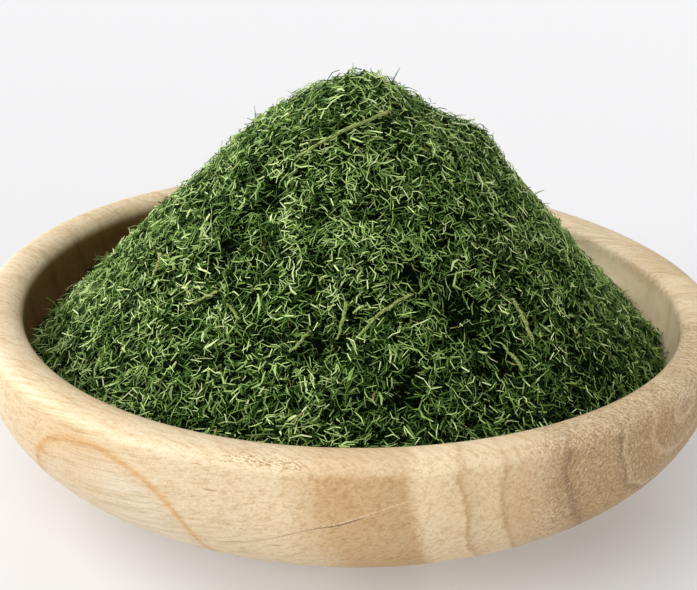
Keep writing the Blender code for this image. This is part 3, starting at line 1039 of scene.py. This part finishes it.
def object_place(tree):
    """Object coordinates, in metres."""
    return tree.nodes.new("ShaderNodeTexCoord").outputs["Object"]


def map_place(tree):
    """A thread's tone and the place along it, or the place round and along a turned skin."""
    node = tree.nodes.new("ShaderNodeUVMap")
    node.uv_map = UV_MAP
    return node.outputs["UV"]


class Wood:
    """The places and noises that the wood's markings are worked out from, and its colour so far."""

    def __init__(self, tree):
        self.tree = tree
        self.coordinates = object_place(tree)
        self.x, self.y, self.z = parts_of(tree, self.coordinates)
        self.outline = parts_of(tree, map_place(tree))[1]
        self.wide = self.noise(WIDE_NOISE) - 0.5
        self.ragged = self.noise(RAGGED_NOISE) - 0.5
        self.mottle = self.noise(MOTTLE_NOISE)
        self.streaks = self.fibres(*STREAK_NOISE)
        self.fine = self.fibres(*FINE_NOISE)
        self.specks = self.fibres(*SPECK_NOISE)
        self.color = ring_colors(self)

    def noise(self, spec):
        """Noise that is the same all ways."""
        return noise_field(self.tree, self.coordinates, *spec)

    def fibres(self, fineness, length_share, detail=3.0, roughness=0.6):
        """Noise drawn out along the fibres: streaks on the sides, dots on the end grain."""
        vector = self.tree.nodes.new("ShaderNodeCombineXYZ")
        axes = (FIBRE * length_share, ACROSS_FIBRE, FIBRE.cross(ACROSS_FIBRE))
        for socket, axis in zip(vector.inputs, axes):
            feed(self.tree, self.x * axis.x + self.y * axis.y + self.z * axis.z, socket)
        return noise_field(self.tree, vector.outputs[0], fineness, detail, roughness)

    def around(self, heading):
        """Distance along the wall from a heading, to its left where it is negative."""
        c, s = cos(heading), sin(heading)
        return (self.y * c - self.x * s).math("ARCTAN2", self.x * c + self.y * s) * BOWL_RADIUS

    def paint(self, share, name, kind="MIX"):
        """Lays one of the wood's colours over what is there."""
        self.color = blend(self.tree, share, self.color, WOOD[name], kind)


def make_wood():
    """Pale wood whose growth rings run round an axis that comes out of the bowl's right side."""
    material, tree, shader = new_material("wood", WOOD_ROUGHNESS, 0.3)
    wood = Wood(tree)
    rim_start, rim_end = rim_on_map()
    inside = wood.outline.step(rim_end + HOLLOW_FADE[0], rim_end + HOLLOW_FADE[1])
    rim = wood.outline.step(rim_start, rim_start + RIM_FADE) - inside
    line, oval = arch_of(wood)
    wood.paint(wood.noise(HONEY_NOISE).step(*HONEY_RANGE) * STRENGTH["honey"], "honey", "MULTIPLY")
    wood.paint(oval, "oval", "MULTIPLY")
    wood.paint(blush_of(wood) * STRENGTH["blush"], "red")
    wood.paint(line, "ring")
    # The rim is paler: partly its own paler wood, partly painted light on its upward face
    wood.paint(rim * STRENGTH["rim"], "pale_and_lit")
    paint_markings(wood)
    wood.paint(rim_pores(wood) * STRENGTH["pores"], "rust")
    paint_hollow(wood, inside, wood.outline.step(rim_end - HOLLOW_SHADE_FADE, rim_end))
    crack, fray = crack_of(wood)
    wood.paint(crack, "crack")
    wood.paint(fray, "fray")
    for knot in KNOTS:
        wood.paint(knot_of(wood, *knot) * wood.fine.step(*KNOT_GRAIN) * STRENGTH["knot"], "rust")
    wood.paint(rim_dot(wood, rim_start, rim_end) * STRENGTH["dot"], "crack")
    roughness = wood.fine * FINE_ROUGHNESS + WOOD_ROUGHNESS
    set_inputs(tree, shader, {"Base Color": wood.color, "Roughness": roughness})
    relief = wood.fine * 0.5 + wood.streaks * 0.5 + wood.mottle * MOTTLE_RELIEF - crack
    bump = tree.nodes.new("ShaderNodeBump")
    set_inputs(tree, bump, {"Strength": RELIEF_STRENGTH, "Distance": WOOD_RELIEF, "Height": relief})
    tree.links.new(bump.outputs["Normal"], shader.inputs["Normal"])
    return material


def rim_on_map():
    """Where the rim starts and ends on the bowl's map, up along its outline."""
    along = along_profile(bowl_profile())
    start = FOOT_RINGS + 1 + OUTER_RINGS
    return along[start], along[start + RIM_RINGS]


def ring_colors(wood):
    """The growth rings, round the two places where the pith comes out of the wall."""
    upward = (wood.z - PITH_HEIGHT) * PITH_SQUASH
    stray = wood.wide * RING_WANDER + wood.ragged * RING_RAGGEDNESS
    sides = []
    for heading, rings in ((PITH_HEADING, FRONT_RINGS), (PITH_HEADING + pi, BACK_RINGS)):
        across = wood.around(heading)
        away = ((across * across + upward * upward).math("SQRT") + stray) / RING_REACH
        sides.append(away.ramp([(distance / RING_REACH, WOOD[color]) for distance, color in rings]))
    frontward = wood.x * cos(PITH_HEADING) + wood.y * sin(PITH_HEADING)
    return blend(wood.tree, frontward.step(*BACK_TO_FRONT), sides[1], sides[0])


def paint_markings(wood):
    """The fine streaks, specks and pores, which are stronger on the end grain round the pith."""
    along = wood.around(PITH_HEADING)
    end_grain = (along * along).step(END_GRAIN_GONE ** 2, END_GRAIN_FULL ** 2)
    noises = {"streaks": wood.streaks, "fine": wood.fine, "mottle": wood.mottle, "specks": wood.specks}
    for name, start, full, strength, end_strength, color, kind in MARKINGS:
        wood.paint(noises[name].step(start, full) * (end_grain * end_strength + strength), color, kind)


def arch_of(wood):
    """The one growth ring that shows whole, a long arch on the front left, and the oval inside it."""
    across = wood.around(ARCH_HEADING) / ARCH_HALF_WIDTH
    upward = (wood.z - ARCH_HEIGHT) / ARCH_HALF_HEIGHT
    shape = (across * across + upward * upward).math("SQRT")
    shape = shape + wood.wide * ARCH_WANDER + wood.ragged * ARCH_RAGGEDNESS
    line = shape.ridge(*ARCH_LINE) * ARCH_LINE_STRENGTH
    glow = shape.step(*ARCH_GLOW_INSIDE) * shape.step(*ARCH_GLOW_OUTSIDE)
    glow = glow * (across.step(*ARCH_LEFT) * ARCH_GLOW_LEFT + ARCH_GLOW)
    return line.math("MAXIMUM", glow), shape.step(1.0, 0.9)


def blush_of(wood):
    """A slanting reddish streak in the middle of the front."""
    across = wood.around(BLUSH_HEADING) + wood.wide * BLUSH_WANDER + wood.ragged * BLUSH_RAGGEDNESS
    upward = wood.z - BLUSH_HEIGHT
    c, s = cos(BLUSH_SLANT), sin(BLUSH_SLANT)
    along = across * c + upward * s
    beside = upward * c - across * s
    ends = along.step(-BLUSH_REACH, -BLUSH_REACH / 2)
    ends = ends * along.step(BLUSH_REACH, BLUSH_FADE_START)
    core = beside.ridge(0.0, BLUSH_CORE) * BLUSH_CORE_SHARE
    return (core + beside.ridge(-BLUSH_CORE, BLUSH_BAND) * (1 - BLUSH_CORE_SHARE)) * ends


def rim_pores(wood):
    """Open pores in short rows where the wall turns into the rim."""
    rows = []
    for heading, half_length, height in RIM_PORES:
        across = wood.around(heading) / half_length
        rows.append((across * across).step(1.2, 0.6) * wood.z.ridge(height, PORE_ROW_WIDTH))
    return rows[0].math("MAXIMUM", rows[1]) * wood.fine.step(*PORE_GRAIN)


def paint_hollow(wood, inside, shaded):
    """The hollow's colour: paler wood and painted light on the right, painted shade on the left, and
    stained green by the dill.
    """
    stains = wood.noise(STAIN_NOISE).step(*STAIN_RANGE)
    # Painted light: the hollow's right side is painted paler
    wood.paint(inside * wood.x.step(*PALE_AND_LIT_FROM) * STRENGTH["pale_and_lit"], "pale_and_lit")
    wood.paint(inside * stains * STRENGTH["stain"], "stain", "MULTIPLY")
    # Painted shade: the hollow's left side is painted darker
    wood.paint(shaded * wood.x.step(*HOLLOW_SHADE_FROM), "painted_shade", "MULTIPLY")


def knot_of(wood, heading, height, half_length, half_height):
    """1 on a small dark mark in the wall and 0 off it."""
    across = wood.around(heading) / half_length
    upward = (wood.z - height) / half_height
    return (across * across + upward * upward).step(1.4, 0.3)


def rim_dot(wood, rim_start, rim_end):
    """1 on the small dark dot on the rim."""
    across = wood.around(RIM_DOT_HEADING) / RIM_DOT_RADIUS
    middle = rim_start + (rim_end - rim_start) * RIM_DOT_PLACE
    onward = (wood.outline - middle) * (RIM_OUTLINE / (rim_end - rim_start)) / RIM_DOT_RADIUS
    return (across * across + onward * onward).step(1.4, 0.5)


def crack_of(wood):
    """A hairline that rises to the right from the foot of the arch, and the pale fibre frayed along it."""
    across = wood.around(CRACK_HEADING)
    above = wood.z - CRACK_HEIGHT - across * CRACK_SLOPE - wood.wide * CRACK_WANDER
    shown = across.step(-CRACK_REACH, -CRACK_REACH + CRACK_FADE)
    shown = shown * across.step(*CRACK_RIGHT_END)
    dark = across.ridge(*CRACK_DARKEST) * CRACK_DARKER + CRACK_DARK
    crack = above.ridge(0.0, CRACK_WIDTH) * shown * dark * wood.fine.step(*CRACK_GRAIN)
    frayed = across.step(*FRAY_LEFT_END)
    frayed = frayed * across.step(CRACK_REACH, CRACK_REACH - CRACK_FADE)
    fray = above.ridge(FRAY_RISE, CRACK_WIDTH) * frayed * wood.fine.step(*FRAY_GRAIN)
    return crack, fray * STRENGTH["fray"]


def make_dill():
    """Green threads and a few of straw, each coloured by its tone, with a painted highlight towards its
    tip.
    """
    material, tree, shader = new_material("dill_leaf", 0.5, 0.05)
    tone, along = parts_of(tree, map_place(tree))[:2]
    # Threads are painted lighter towards one end: a painted highlight
    lighter = (along - 0.5) * TIP_PAINTED_HIGHLIGHT * tone.step(*GREEN_END)
    feed(tree, (tone + lighter).ramp(DILL_TONES), shader.inputs["Base Color"])
    return material


def make_shade():
    """Painted shade: the nearly black inside of the heap."""
    material, tree, shader = new_material("dill_shade", 1.0, 0.0)
    grain = noise_field(tree, object_place(tree), SHADE_FINENESS)
    feed(tree, blend(tree, grain, *SHADE_COLORS), shader.inputs["Base Color"])
    return material


def make_stalk():
    """Stems in light and dark streaks, yellower in patches."""
    material, tree, shader = new_material("dill_stem", 0.6, 0.15)
    streaks = noise_field(tree, map_place(tree), *STALK_STREAKS).step(*STREAK_RANGE)
    color = blend(tree, streaks, STALK_DARK, STALK_LIGHT)
    yellower = noise_field(tree, object_place(tree), *STALK_PATCHES).step(*PATCH_RANGE)
    color = blend(tree, yellower * streaks * YELLOW_STRENGTH, color, STALK_YELLOW)
    feed(tree, color, shader.inputs["Base Color"])
    return material


def make_floor():
    """The plain pale floor, just under the bowl."""
    corners = [(-1, -1, 0), (1, -1, 0), (1, 1, 0), (-1, 1, 0)]
    floor = add_piece("floor", np.array(corners) * FLOOR_SIZE, [(0, 1, 2, 3)])
    material, tree, shader = new_material("floor", 0.30, 0.4)
    set_inputs(tree, shader, {
        "Base Color": FLOOR_COLOR,
        "Emission Color": FLOOR_GLOW,
        "Emission Strength": FLOOR_GLOW_STRENGTH,
    })
    floor.data.materials.append(material)
    floor.location.z = -FLOOR_GAP


def add_sun(name, heading, height, strength, spread):
    """A soft light from far away, from a heading round the bowl and an angle above the floor."""
    light = bpy.data.lights.new(name, "SUN")
    light.energy = strength
    light.angle = radians(spread)
    item = add_object(name, light)
    item.rotation_euler = (radians(90 - height), 0, radians(heading + 90))


def make_lights():
    """The studio lights, and a pale room that looks brighter than it lights the bowl."""
    for spec in LIGHTS:
        add_sun(*spec)
    world = bpy.data.worlds.new("studio")
    world.use_nodes = True
    bpy.context.scene.world = world
    tree = world.node_tree
    rays = tree.nodes.new("ShaderNodeLightPath")
    seen = Field(tree, rays.outputs["Is Camera Ray"]).math("MAXIMUM", rays.outputs["Is Glossy Ray"])
    background = tree.nodes["Background"]
    background.inputs["Color"].default_value = (*WORLD_COLOR, 1)
    feed(tree, seen * (WORLD_SEEN - WORLD_LIGHT) + WORLD_LIGHT, background.inputs["Strength"])


def make_camera():
    """The camera at the photo's angle."""
    camera = bpy.data.cameras.new("camera")
    camera.sensor_width = SENSOR_WIDTH
    camera.lens = FOCAL_PIXELS / FRAME_WIDTH * SENSOR_WIDTH
    camera.clip_start = 0.01
    camera.clip_end = 20
    item = add_object("camera", camera)
    turn = Matrix.Rotation(CAMERA_YAW, 4, "Z") @ Matrix.Rotation(pi / 2 - CAMERA_DROP, 4, "X")
    turn = turn @ Matrix.Rotation(CAMERA_ROLL, 4, "Z")
    item.matrix_world = Matrix.Translation(CAMERA_PLACE) @ turn
    bpy.context.scene.camera = item


def make_heap():
    """The heap: its core in painted shade, the threads that stick out and the threads of each kind."""
    skin = Skin()
    leaf = make_dill()
    core = make_core(make_shade())
    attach(core, "root")
    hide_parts("dill_heap")
    draw = np.random.default_rng(THREAD_SEED)
    pieces = [make_strays("dill_stray_1", draw, skin)]
    for kind, number, split, *form in THREAD_KINDS:
        for k in range(split):
            pieces.append(make_threads(f"dill_{kind}_{k + 1}", draw, form, number // split, skin))
    for piece in pieces:
        piece.data.materials.append(leaf)
        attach(piece, "root")


def make_stems():
    """The longer stem pieces that lie on the heap."""
    stalk = make_stalk()
    draw = np.random.default_rng(THREAD_SEED + 1)
    for number in range(1, STEM_COUNT + 1):
        name = f"stem_piece_{number:02d}"
        stem = make_stem(number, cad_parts[name], stalk, draw)
        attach(stem, "root")
        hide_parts(name)


def main():
    make_camera()
    make_lights()
    make_floor()
    bowl = make_bowl(make_wood())
    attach(bowl, "root")
    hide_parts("bowl")
    make_heap()
    make_stems()
    bpy.context.scene.view_settings.view_transform = "Standard"
    bpy.context.view_layer.update()


main()
